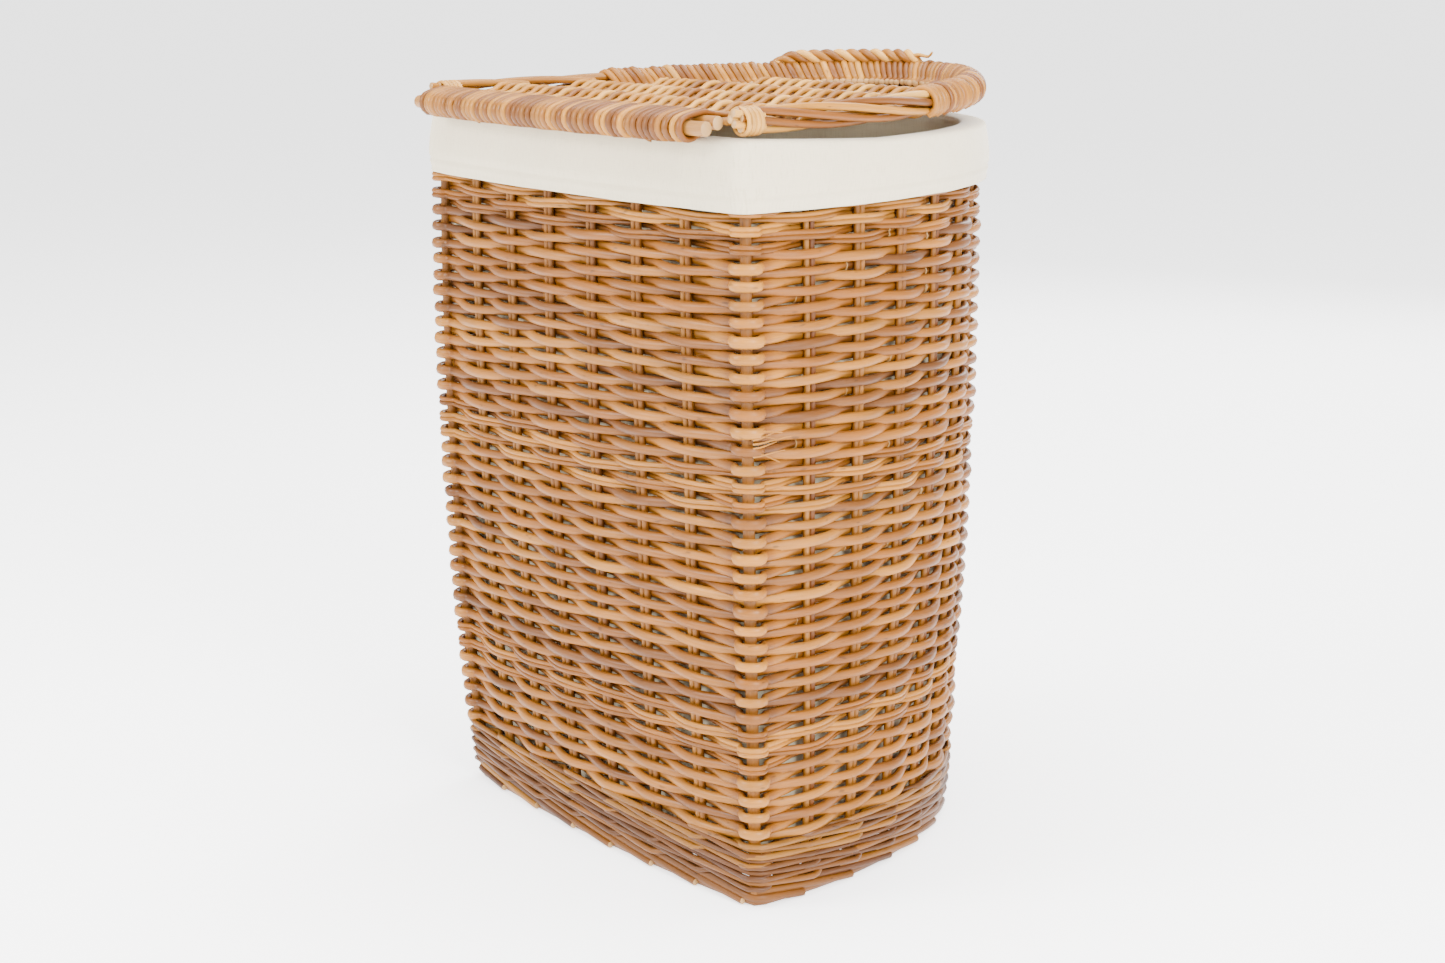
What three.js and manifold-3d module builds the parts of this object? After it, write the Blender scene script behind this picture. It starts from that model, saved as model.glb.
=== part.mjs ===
// A D-shaped willow laundry basket with a hinged lid and a cotton liner.
// Millimetres, +Z up. The flat back faces +Y and the curved front faces -Y. The origin is on the floor,
// under the middle of the basket. The wall is modelled straight, at the size of its rim, and then leaned in.
import * as THREE from "three";
import { ParametricGeometry } from "three/addons/geometries/ParametricGeometry.js";
import { mergeVertices } from "three/addons/utils/BufferGeometryUtils.js";
import Module from "manifold-3d";

const GAP = 0.3; // between touching pieces

// Plan of the basket at its rim: the line that the upright stakes stand on.
const HALF_WIDTH = 206;
const BACK = 167;
const FRONT = 202;
const BACK_BOW = 12; // the middle of the back stands out past its corners by this much
const CORNER_RADIUS = 6;
const LEAST_RADIUS = 2; // of the corners on the inside
const SIDE_LENGTH = 28; // the straight part of each side, before the curve of the front
const CORNER_X = HALF_WIDTH - CORNER_RADIUS;
const CORNER_Y = BACK - CORNER_RADIUS;
const SIDE_END_Y = CORNER_Y - SIDE_LENGTH;

// How far the foot lies inside the rim, and how far the middle of the wall swells out.
const LEAN = { side: 10, back: 21, front: 30 };
const SWELL = 8;
const KNOTS = [0, 120, 240, 360, 480, 600]; // the heights where the wall bends

// Heights of the layers, from the floor up.
const FOOT_TOP = 16;
const BASE_TOP = 28;
const UPSET_TOP = 54;
const WEAVE_TOP = 578;
const RIM = 600;

// The wall's half thickness, which is half a stake and one weaver.
const WALL = 9;
const UPSET_OUTSIDE = 10;
const FOOT_INSIDE = 16;

const STAKE_RADIUS = 2.8;
const STAKE_SPACING = 5; // between the two rods of a pair, which press together
const BACK_PAIRS = 6;
const FRONT_PAIRS = 16;
const POST_RADIUS = 5;

const BASE_STICKS = 6;
const BASE_STICK_SPACING = 56;
const BASE_STICK_RADIUS = 4.5;
const BASE_STICK_HEIGHT = 20.5;

const CLOTH = 2; // the liner's thickness, with its folds
const CUFF = 3;
const CUFF_BOTTOM = 544;

const HINGE_X = 118;
const HINGE_RING = { tube: 1.7, radius: 7.6, foot: 590, neck: 11.5, legs: 3.8, tip: 3.5 };

// The lid. Its outer back stick lies behind the rim and is the axle of the hinge.
const AXLE = { overhang: 27.5, height: 606, radius: 5.5, halfLength: 197 };
const INNER_STICK = { inward: 14.2, above: 5.5, radius: 5.2 };
const WRAP = 3.4; // the weavers round the back sticks
const WRAP_HALF_LENGTH = 185;
const LID_HEIGHT = 610.5; // the middle of the flat weave
const LID_THICKNESS = 12;
const LID_END_Y = 172; // where the lid's border starts, in front of the back sticks
const BORDER = { offset: -3, halfWidth: 10, halfHeight: 9, height: 614, curl: 7 };
const TIE = { fromEnd: 10, length: 16, thickness: 1.8 };
const RIBS = 4;
const RIB = { radius: 3.6, spacing: 75, first: 113 };
const HANDLE = { radius: 5, from: 272, to: 308 }; // degrees round the front of the border

const wasm = await Module();
wasm.setup();

// ---- Solids and booleans ----

function toSolid(geometry) {
  const bare = geometry.index ? geometry.toNonIndexed() : geometry.clone();
  bare.deleteAttribute("normal");
  bare.deleteAttribute("uv");
  const merged = mergeVertices(bare, 1e-3);
  return new wasm.Manifold(
    new wasm.Mesh({
      numProp: 3,
      vertProperties: merged.attributes.position.array,
      triVerts: new Uint32Array(merged.index.array),
    }),
  );
}

function toGeometry(solid) {
  const mesh = solid.getMesh();
  const geometry = new THREE.BufferGeometry();
  geometry.setAttribute("position", new THREE.BufferAttribute(mesh.vertProperties, 3));
  geometry.setIndex(new THREE.BufferAttribute(mesh.triVerts, 1));
  return geometry;
}

const join = (...parts) => toGeometry(parts.map(toSolid).reduce((sum, part) => sum.add(part)));
const cut = (body, ...tools) =>
  toGeometry(tools.map(toSolid).reduce((rest, tool) => rest.subtract(tool), toSolid(body)));

// Moves each vertex of a geometry by a function of its place.
function warp(geometry, move) {
  const position = geometry.attributes.position;
  const point = new THREE.Vector3();
  for (let i = 0; i < position.count; i++) {
    move(point.fromBufferAttribute(position, i));
    position.setXYZ(i, point.x, point.y, point.z);
  }
  return geometry;
}

// How much of the swell a height has: straight between the knots, so that nested pieces stay nested.
function swellAt(height) {
  const above = KNOTS.findIndex((knot) => knot >= height);
  const [low, high] = [KNOTS[Math.max(0, above - 1)], KNOTS[Math.max(1, above)]];
  const whole = (knot) => (4 * SWELL * knot * (RIM - knot)) / RIM ** 2;
  return THREE.MathUtils.mapLinear(height, low, high, whole(low), whole(high));
}

// Leans a piece of the straight wall inwards below the rim, and swells it half way up.
function lean(geometry) {
  return warp(geometry, (p) => {
    const height = THREE.MathUtils.clamp(p.z, 0, RIM);
    const inset = (amount, half) => 1 - (amount * (1 - height / RIM) - swellAt(height)) / half;
    p.x *= inset(LEAN.side, HALF_WIDTH);
    p.y *= p.y > 0 ? inset(LEAN.back, BACK) : inset(LEAN.front, FRONT);
  });
}

// ---- The plan ----

const vector = (x, y) => new THREE.Vector2(x, y);

// The closed plan line, moved outwards by offset, anticlockwise from the right-hand corner.
function planPoints(offset) {
  const radius = Math.max(LEAST_RADIUS, CORNER_RADIUS + offset);
  const back = BACK + offset;
  const halfWidth = HALF_WIDTH + offset;
  const depth = SIDE_END_Y + FRONT + offset;
  const [x, y] = [halfWidth - radius, back - radius];
  const bow = new THREE.QuadraticBezierCurve(
    vector(x, back),
    vector(0, back + 2 * BACK_BOW),
    vector(-x, back),
  );
  return [
    ...new THREE.EllipseCurve(x, y, radius, radius, 0, Math.PI / 2).getPoints(4),
    ...bow.getPoints(8).slice(1, -1),
    ...new THREE.EllipseCurve(-x, y, radius, radius, Math.PI / 2, Math.PI).getPoints(4),
    ...new THREE.EllipseCurve(0, SIDE_END_Y, halfWidth, depth, Math.PI, 2 * Math.PI).getPoints(28),
  ];
}

// The plan line round the sides and front, from near the left-hand corner to near the right-hand one.
function frontPath(offset, endY = CORNER_Y) {
  const halfWidth = HALF_WIDTH + offset;
  const path = new THREE.Path();
  path.moveTo(-halfWidth, endY);
  path.lineTo(-halfWidth, SIDE_END_Y);
  path.absellipse(0, SIDE_END_Y, halfWidth, SIDE_END_Y + FRONT + offset, Math.PI, 2 * Math.PI);
  path.lineTo(halfWidth, endY);
  return path;
}

const backY = (x) => BACK + BACK_BOW * (1 - (x / CORNER_X) ** 2);

function extrude(points, holes, bottom, top) {
  const shape = new THREE.Shape(points);
  shape.holes = holes.map((hole) => new THREE.Path(hole));
  const levels = [bottom, ...KNOTS.filter((knot) => knot > bottom && knot < top), top];
  const steps = levels.length - 1;
  const geometry = new THREE.ExtrudeGeometry(shape, { depth: steps, steps, bevelEnabled: false });
  return warp(geometry, (p) => (p.z = levels[Math.round(p.z)]));
}

const ring = (outside, inside, bottom, top, holes = []) =>
  extrude(planPoints(outside), [planPoints(inside), ...holes], bottom, top);

const circle = (x, y, radius, sides = 8) =>
  new THREE.EllipseCurve(x, y, radius, radius, 0, 2 * Math.PI).getPoints(sides).slice(0, -1);

// A rod of round or oval section along a curve.
function rod(curve, radius, steps, height = radius, sides = 8) {
  const section = new THREE.Shape(
    new THREE.EllipseCurve(0, 0, radius, height, 0, 2 * Math.PI).getPoints(sides).slice(0, -1),
  );
  return new THREE.ExtrudeGeometry(section, { steps, bevelEnabled: false, extrudePath: curve });
}

// ---- Where the stakes stand ----

// Each place is a point on the plan line and the direction of the line there.
function stakePlaces() {
  const places = [];
  for (let i = 1; i <= BACK_PAIRS; i++) {
    const x = CORNER_X * (1 - (2 * i) / (BACK_PAIRS + 1));
    const slope = (-2 * BACK_BOW * x) / CORNER_X ** 2;
    places.push({ at: vector(x, backY(x)), along: vector(1, slope).normalize() });
  }
  const front = frontPath(0);
  for (let i = 1; i <= FRONT_PAIRS; i++) {
    const share = i / (FRONT_PAIRS + 1);
    places.push({ at: front.getPointAt(share), along: front.getTangentAt(share) });
  }
  return places;
}

const pairCentres = ({ at, along }) =>
  [-1, 1].map((side) => at.clone().addScaledVector(along, (side * STAKE_SPACING) / 2));

// The long slot in the weave that a pair of stakes stands in.
function pairSlot({ at, along }) {
  const radius = STAKE_RADIUS + 2 * GAP;
  const turn = Math.atan2(along.y, along.x);
  return [1, -1].flatMap((side) => {
    const centre = at.clone().addScaledVector(along, (side * STAKE_SPACING) / 2);
    const from = turn + (side > 0 ? -Math.PI / 2 : Math.PI / 2);
    return new THREE.EllipseCurve(centre.x, centre.y, radius, radius, from, from + Math.PI).getPoints(4);
  });
}

const cornerOf = (side) => {
  const diagonal = CORNER_RADIUS * Math.SQRT1_2;
  return vector(side * (CORNER_X + diagonal), CORNER_Y + diagonal);
};

const places = stakePlaces();
const stakeHoles = [
  ...places.map(pairSlot),
  ...[-1, 1].map((side) => {
    const { x, y } = cornerOf(side);
    return circle(x, y, POST_RADIUS + GAP, 10);
  }),
];

// ---- The basket ----

const STAKE_FOOT = FOOT_TOP + GAP;
const STAKE_TOP = WEAVE_TOP + 8;

const footBorder = () => lean(ring(WALL, -FOOT_INSIDE, 0, FOOT_TOP));

// A piece of wall with the stakes running through it.
const wallBand = (outside, bottom, top) => lean(ring(outside, -WALL, bottom, top, stakeHoles));

// The rolled top edge, which the stakes' tops run into.
function topBorder() {
  const bottom = WEAVE_TOP + GAP;
  const edge = ring(WALL, -WALL, bottom, RIM);
  const sockets = stakeHoles.map((hole) => extrude(hole, [], bottom - 1, STAKE_TOP + GAP));
  return cut(lean(cut(edge, ...sockets)), ...[-1, 1].map((side) => hingeRing(side, GAP)));
}

function stakePair(place) {
  const rods = pairCentres(place).map(({ x, y }) =>
    lean(extrude(circle(x, y, STAKE_RADIUS), [], STAKE_FOOT, STAKE_TOP)),
  );
  return join(...rods);
}

function cornerPost(side) {
  const { x, y } = cornerOf(side);
  return lean(extrude(circle(x, y, POST_RADIUS, 10), [], STAKE_FOOT, STAKE_TOP));
}

// A stick under the base, running from back to front, as long as the foot's hole allows.
function baseStick(index, clearance = 0) {
  const x = (index - (BASE_STICKS - 1) / 2) * BASE_STICK_SPACING;
  const inside = FOOT_INSIDE + 2 - clearance;
  const back = backY(x) - inside;
  const reach = Math.sqrt(1 - (x / (HALF_WIDTH - inside)) ** 2);
  const front = SIDE_END_Y - (SIDE_END_Y + FRONT - inside) * reach;
  const line = new THREE.LineCurve3(
    new THREE.Vector3(x, back, BASE_STICK_HEIGHT),
    new THREE.Vector3(x, front, BASE_STICK_HEIGHT),
  );
  return rod(line, BASE_STICK_RADIUS + clearance, 4);
}

function baseWeave() {
  const slab = extrude(planPoints(-WALL - GAP), [], FOOT_TOP + GAP, BASE_TOP);
  const grooves = Array.from({ length: BASE_STICKS }, (_, i) => baseStick(i, GAP + 0.1));
  return lean(cut(slab, ...grooves));
}

// ---- The liner: a bag hung inside, with its top folded out over the rim as a cuff ----

const LINER_OUTSIDE = WALL + 2 * GAP;

function linerBag() {
  const foldTop = RIM + GAP + CLOTH;
  const bag = ring(-LINER_OUTSIDE, -LINER_OUTSIDE - CLOTH, BASE_TOP + GAP, foldTop);
  const cuff = ring(LINER_OUTSIDE + CUFF, LINER_OUTSIDE, CUFF_BOTTOM, foldTop);
  const fold = ring(LINER_OUTSIDE + CUFF, -LINER_OUTSIDE - CLOTH, RIM + GAP, foldTop);
  return cut(join(...[bag, cuff, fold].map(lean)), ...[-1, 1].map((side) => hingeRing(side, GAP)));
}

const linerBottom = () =>
  lean(extrude(planPoints(-LINER_OUTSIDE - CLOTH - GAP), [], BASE_TOP + GAP, BASE_TOP + GAP + CLOTH));

// ---- The lid ----

const axleY = (x) => backY(x) + AXLE.overhang;

// A pear-shaped loop of willow: its foot goes under the top border and its head round the lid's outer stick.
function hingeRing(side, clearance = 0) {
  const { tube, radius, foot, neck, legs, tip } = HINGE_RING;
  const x = side * HINGE_X;
  const head = vector(axleY(HINGE_X), AXLE.height);
  const down = vector(backY(HINGE_X), foot).sub(head);
  const length = down.length();
  const [along, across] = [down.normalize(), vector(-down.y, down.x)];
  const at = (distance, sideways) => {
    const { x: y, y: z } = head.clone().addScaledVector(along, distance).addScaledVector(across, sideways);
    return new THREE.Vector3(x, y, z);
  };
  const around = (degrees) => {
    const angle = THREE.MathUtils.degToRad(degrees);
    return at(-radius * Math.cos(angle), radius * Math.sin(angle));
  };
  const loop = new THREE.CatmullRomCurve3(
    [
      ...[-115, -77, -38, 0, 38, 77, 115].map(around),
      at(neck, legs),
      at(length - tip, tip),
      at(length, 0),
      at(length - tip, -tip),
      at(neck, -legs),
    ],
    true,
  );
  return new THREE.TubeGeometry(loop, 30, tube + clearance, 6, true);
}

// The height of the middle of the lid's border, which curls up towards the front.
function borderHeight(y) {
  const forward = THREE.MathUtils.clamp((backY(0) - y) / (backY(0) + FRONT), 0, 1);
  return BORDER.height + BORDER.curl * forward ** 2;
}

// A curve that follows a function of its share, from 0 to 1.
class LineThrough extends THREE.Curve {
  constructor(place) {
    super();
    this.place = place;
  }
  getPoint(share, target = new THREE.Vector3()) {
    return target.copy(this.place(share));
  }
}

function backStick(inward, above, radius, halfLength) {
  const line = new LineThrough((share) => {
    const x = (2 * share - 1) * halfLength;
    return new THREE.Vector3(x, axleY(x) - inward, AXLE.height + above);
  });
  return rod(line, radius, 10);
}

const outerStick = (clearance = 0, longer = 0) =>
  backStick(0, 0, AXLE.radius + clearance, AXLE.halfLength + longer);
const innerStick = (clearance = 0, longer = 0) =>
  backStick(
    INNER_STICK.inward,
    INNER_STICK.above,
    INNER_STICK.radius + clearance,
    AXLE.halfLength - 4 + longer,
  );

// The border, from just in front of the back sticks on the left to the same place on the right.
function lidBorder(clearance = 0) {
  const path = frontPath(BORDER.offset, LID_END_Y);
  const line = new LineThrough((share) => {
    const { x, y } = path.getPointAt(share);
    return new THREE.Vector3(x, y, borderHeight(y));
  });
  return rod(line, BORDER.halfWidth + clearance, 44, BORDER.halfHeight + clearance, 10);
}

// A rib across the lid, as long as the border allows.
function lidRib(index, clearance = 0, longer = 0) {
  const y = RIB.first - index * RIB.spacing;
  const inside = BORDER.offset - BORDER.halfWidth - 4;
  const reach = Math.sqrt(1 - ((SIDE_END_Y - y) / (SIDE_END_Y + FRONT + inside)) ** 2);
  const half = (HALF_WIDTH + inside) * reach + longer;
  const line = new THREE.LineCurve3(
    new THREE.Vector3(-half, y, LID_HEIGHT),
    new THREE.Vector3(half, y, LID_HEIGHT),
  );
  return rod(line, RIB.radius + clearance, 1);
}

// The lid's flat woven sheet. Shares run round the outline, and over its faces from the middle of the back,
// out underneath, and back across the top.
function lidWeave() {
  const path = frontPath(BORDER.offset, LID_END_Y);
  const alongBack = (x) => vector(x, axleY(x) - INNER_STICK.inward);
  const outline = (around) => {
    if (around < 0.25) return alongBack(WRAP_HALF_LENGTH * (1 - around * 8));
    return path.getPointAt((around - 0.25) / 0.75);
  };
  return new ParametricGeometry(
    (around, over, target) => {
      const out = Math.min(1, 1.25 * (1 - Math.abs(2 * over - 1)));
      const { x, y } = alongBack(0).lerp(outline(around % 1), out);
      const face = over < 0.5 ? -1 : 1;
      target.set(x, y, LID_HEIGHT + (face * LID_THICKNESS) / 2);
    },
    36,
    10,
  );
}

// The weavers' turns round the two back sticks: a flattened sleeve.
function backSleeve() {
  const outer = backStick(0, 0, AXLE.radius + WRAP, WRAP_HALF_LENGTH);
  const { inward, above, radius } = INNER_STICK;
  const inner = backStick(inward, above, radius + WRAP - 0.3, WRAP_HALF_LENGTH - 0.5);
  const between = backStick(inward / 2, above / 2, radius + WRAP - 0.6, WRAP_HALF_LENGTH - 1);
  return join(outer, inner, between);
}

// Room in the sleeve for a hinge ring's head and legs, which stay still while the lid turns.
function hingeRoom(side) {
  const reach = HINGE_RING.radius + HINGE_RING.tube + 3 * GAP;
  const width = 2 * HINGE_RING.tube + 5;
  const room = (y, z, radius) =>
    new THREE.CylinderGeometry(radius, radius, width, 16).rotateZ(Math.PI / 2).translate(side * HINGE_X, y, z);
  const head = vector(axleY(HINGE_X), AXLE.height);
  const legs = head.clone().lerp(vector(backY(HINGE_X), HINGE_RING.foot), 0.4);
  return [room(head.x, head.y, reach), room(legs.x, legs.y, 9)];
}

function wovenLid() {
  const ribs = Array.from({ length: RIBS }, (_, i) => lidRib(i, 2 * GAP, 8));
  return cut(
    join(lidWeave(), backSleeve()),
    outerStick(GAP, 5),
    innerStick(GAP, 5),
    lidBorder(GAP),
    ...ribs,
    ...[-1, 1].flatMap((side) => [...hingeRoom(side), tieBlock(side, TIE.thickness + 2 * GAP, GAP)]),
  );
}

// A short oval length of the border at a tie, thicker by more all round.
function tieBlock(side, more, longer = 0) {
  const { halfWidth, halfHeight, offset } = BORDER;
  const oval = new THREE.EllipseCurve(0, 0, halfWidth + more, halfHeight + more, 0, 2 * Math.PI);
  const depth = TIE.length + 2 * longer;
  const block = new THREE.ExtrudeGeometry(new THREE.Shape(oval.getPoints(16).slice(0, -1)), {
    depth,
    bevelEnabled: false,
  });
  const [x, y] = [side * (HALF_WIDTH + offset), LID_END_Y - TIE.fromEnd];
  return block.rotateX(Math.PI / 2).translate(x, y + depth / 2, borderHeight(y));
}

// The binding round one end of the border.
const lidTie = (side) => cut(tieBlock(side, TIE.thickness + GAP), tieBlock(side, 2 * GAP, 1));

// The roped grip along the top of the border, to the right of the middle of the front.
function lidHandle() {
  const line = new LineThrough((share) => {
    const angle = THREE.MathUtils.degToRad(THREE.MathUtils.lerp(HANDLE.from, HANDLE.to, share));
    const x = (HALF_WIDTH + BORDER.offset) * Math.cos(angle);
    const y = SIDE_END_Y + (SIDE_END_Y + FRONT + BORDER.offset) * Math.sin(angle);
    const top = borderHeight(y) + BORDER.halfHeight;
    return new THREE.Vector3(x, y, top + 2 * GAP + HANDLE.radius);
  });
  return rod(line, HANDLE.radius, 14);
}

// ---- The assembly ----

const willow = (color, roughness) => new THREE.MeshStandardMaterial({ color, roughness, metalness: 0 });
const MATERIALS = {
  weaver: willow(0xb57a45, 0.45),
  stake: willow(0xb9814d, 0.45),
  stick: willow(0xc08b52, 0.5),
  lid: willow(0xd09c64, 0.45),
  cloth: new THREE.MeshStandardMaterial({ color: 0xe9e2d6, roughness: 0.95, metalness: 0 }),
};

const model = new THREE.Group();
function place(name, geometry, material) {
  const mesh = new THREE.Mesh(geometry, MATERIALS[material]);
  mesh.name = name;
  model.add(mesh);
}
const number = (i) => String(i + 1).padStart(2, "0");

place("foot_border", footBorder(), "weaver");
place("base_weave", baseWeave(), "weaver");
for (let i = 0; i < BASE_STICKS; i++) place(`base_stick_${number(i)}`, lean(baseStick(i)), "stick");
place("upset_wale", wallBand(UPSET_OUTSIDE, FOOT_TOP + GAP, UPSET_TOP), "weaver");
place("side_weave", wallBand(WALL, UPSET_TOP + GAP, WEAVE_TOP), "weaver");
place("top_border", topBorder(), "weaver");
place("corner_post_left", cornerPost(-1), "stake");
place("corner_post_right", cornerPost(1), "stake");
places.forEach((at, i) => place(`stake_pair_${number(i)}`, stakePair(at), "stake"));
place("liner_bag", linerBag(), "cloth");
place("liner_bottom", linerBottom(), "cloth");
place("hinge_ring_left", hingeRing(-1), "stake");
place("hinge_ring_right", hingeRing(1), "stake");
place("lid_outer_stick", outerStick(), "stick");
place("lid_inner_stick", innerStick(), "stick");
place("lid_weave", wovenLid(), "lid");
for (let i = 0; i < RIBS; i++) place(`lid_rib_${number(i)}`, lidRib(i), "stick");
place("lid_border", lidBorder(), "lid");
place("lid_tie_left", lidTie(-1), "lid");
place("lid_tie_right", lidTie(1), "lid");
place("lid_handle", lidHandle(), "lid");

export default model;
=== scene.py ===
import math

import bpy
import numpy as np
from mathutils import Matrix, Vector


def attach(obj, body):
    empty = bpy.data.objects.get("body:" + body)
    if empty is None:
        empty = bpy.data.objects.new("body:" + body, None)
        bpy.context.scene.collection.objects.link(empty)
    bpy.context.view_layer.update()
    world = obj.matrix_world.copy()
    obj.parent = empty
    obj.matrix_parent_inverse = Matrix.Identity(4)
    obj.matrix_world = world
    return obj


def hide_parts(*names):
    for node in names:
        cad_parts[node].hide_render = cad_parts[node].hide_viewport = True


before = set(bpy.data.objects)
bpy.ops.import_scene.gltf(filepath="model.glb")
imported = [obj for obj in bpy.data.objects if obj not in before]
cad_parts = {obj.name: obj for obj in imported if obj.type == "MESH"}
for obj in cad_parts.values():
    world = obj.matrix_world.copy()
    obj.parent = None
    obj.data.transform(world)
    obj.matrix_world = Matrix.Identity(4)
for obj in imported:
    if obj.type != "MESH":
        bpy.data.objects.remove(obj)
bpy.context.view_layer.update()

rng = np.random.default_rng(11)

# Plan of the wall at the rim, on the line that the stakes stand on, and how the wall leans and swells.
HALF_WIDTH = 0.206
BACK = 0.167
FRONT = 0.202
BACK_BOW = 0.012
CORNER_RADIUS = 0.006
SIDE_END_Y = 0.133
CORNER_X = HALF_WIDTH - CORNER_RADIUS
CORNER_Y = BACK - CORNER_RADIUS
RIM = 0.600
LEAN_SIDE, LEAN_BACK, LEAN_FRONT = 0.010, 0.021, 0.030
SWELL = 0.008

BACK_PAIRS = 6
FRONT_PAIRS = 16

BASE_STICKS = 6
BASE_STICK_GAP = 0.056
BASE_Z = 0.0222

# Heights of the layers.
UPSET_BOTTOM, UPSET_TOP = 0.0165, 0.0540
WEAVE_TOP = 0.5780
ROW = 0.0069
BANDS = 4           # meshes that the rows of weavers are shared among
THIN_EVERY = 29     # of each 29 rows, five are of thin rods laid in pairs
THIN_ROWS = range(9, 14)

# The back sticks of the lid and its border.
AXLE_OUT, AXLE_Z, AXLE_RADIUS, AXLE_HALF = 0.0275, 0.606, 0.0055, 0.197
INNER_IN, INNER_UP, INNER_RADIUS = 0.0142, 0.0035, 0.0052
LID_Z = 0.6105
BORDER_OFFSET, BORDER_Z, BORDER_CURL = -0.003, 0.6110, 0.0100
BORDER_END_Y = 0.172
BORDER_HALF_WIDTH = HALF_WIDTH + BORDER_OFFSET
BORDER_REACH = SIDE_END_Y + FRONT + BORDER_OFFSET
RIB_YS = [0.113 - 0.075 * i for i in range(4)]
HINGE_X = 0.118
HINGE_TURN = 0.0076
WRAPS_TO_HINGE = 17     # lid weavers between the middle and a hinge ring
LID_WEAVERS = 56


# ---- The plan line ----

def plan_line(step=0.001):
    """Points every step along the stake line, their outward normals, and its length."""
    a = np.linspace(0, np.pi / 2, 20)
    x = np.linspace(CORNER_X, -CORNER_X, 400)[1:-1]
    t = np.linspace(np.pi, 2 * np.pi, 1200)
    right = np.stack([CORNER_X + CORNER_RADIUS * np.cos(a), CORNER_Y + CORNER_RADIUS * np.sin(a)], 1)
    back = np.stack([x, BACK + BACK_BOW * (1 - (x / CORNER_X) ** 2)], 1)
    left = right[::-1] * [-1, 1]
    front = np.stack([HALF_WIDTH * np.cos(t), SIDE_END_Y + (SIDE_END_Y + FRONT) * np.sin(t)], 1)
    ring = np.concatenate([right, back, left, front, right[:1]])
    gaps = np.hypot(*np.diff(ring, axis=0).T)
    far = np.concatenate([[0], np.cumsum(gaps)])
    length = far[-1]
    s = np.arange(0, length, step)
    points = np.stack([np.interp(s, far, ring[:, k]) for k in (0, 1)], 1)
    ahead = np.roll(points, -3, 0) - np.roll(points, 3, 0)
    ahead /= np.linalg.norm(ahead, axis=1)[:, None]
    return s, points, np.stack([ahead[:, 1], -ahead[:, 0]], 1), length


LINE_S, LINE, NORMAL, ROUND = plan_line()


def along(s, values):
    """Values of the plan line at places s, going round and round."""
    s = np.mod(s, ROUND)
    closed = np.concatenate([LINE_S, [ROUND]])
    return np.stack([np.interp(s, closed, np.append(v, v[0])) for v in values.T], 1)


def back_y(x):
    return BACK + BACK_BOW * (1 - (x / CORNER_X) ** 2)


def leaned(p):
    """The straight wall's points, leaned in towards the foot and swollen at mid height."""
    h = np.clip(p[:, 2], 0, RIM)
    swell = 4 * SWELL * h * (RIM - h) / RIM ** 2
    q = p.copy()
    q[:, 0] *= 1 - (LEAN_SIDE * (1 - h / RIM) - swell) / HALF_WIDTH
    back = 1 - (LEAN_BACK * (1 - h / RIM) - swell) / BACK
    front = 1 - (LEAN_FRONT * (1 - h / RIM) - swell) / FRONT
    q[:, 1] *= np.where(p[:, 1] > 0, back, front)
    return q


def wall(s, offset, z):
    """Points of the wall at s, offset outwards, at height z, and the outward directions there."""
    s, offset, z = np.broadcast_arrays(s, offset, z)
    out = along(s, NORMAL)
    corner = np.exp(-(corner_gap(s) / 0.012) ** 2)
    offset = np.maximum(offset, -0.03 + 0.026 * corner)
    flat = along(s, LINE) + out * offset[:, None]
    return leaned(np.column_stack([flat, z])), np.column_stack([out, np.zeros(len(out))])


def nearest_s(x, y):
    return LINE_S[np.argmin(np.hypot(LINE[:, 0] - x, LINE[:, 1] - y))]


DIAGONAL = CORNER_RADIUS * math.sqrt(0.5)
CORNERS = [nearest_s(side * (CORNER_X + DIAGONAL), CORNER_Y + DIAGONAL) for side in (1, -1)]
LEFT_CORNER = CORNERS[1]


def corner_gap(s):
    """Distance along the plan line to the nearer corner."""
    gaps = [np.abs(np.mod(s - c + ROUND / 2, ROUND) - ROUND / 2) for c in CORNERS]
    return np.minimum(*gaps)


def uprights():
    """Places round the line of the corner posts and stake pairs, in order from the right-hand corner."""
    back = [nearest_s(CORNER_X * (1 - 2 * i / (BACK_PAIRS + 1)), 0.176) for i in range(1, BACK_PAIRS + 1)]
    start = nearest_s(-HALF_WIDTH, CORNER_Y)
    end = nearest_s(HALF_WIDTH, CORNER_Y - 0.001)
    front = [start + (end - start) * i / (FRONT_PAIRS + 1) for i in range(1, FRONT_PAIRS + 1)]
    return np.array(sorted([*CORNERS, *back, *front]))


UPRIGHTS = uprights()
COUNT = len(UPRIGHTS)


def turn(s):
    """How many uprights have been passed at s, with fractions between them."""
    rounds = np.floor((s - UPRIGHTS[0]) / ROUND)
    local = s - rounds * ROUND
    knots = np.append(UPRIGHTS, UPRIGHTS[0] + ROUND)
    return np.interp(local, knots, np.arange(COUNT + 1)) + rounds * COUNT


# ---- Rods ----

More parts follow.
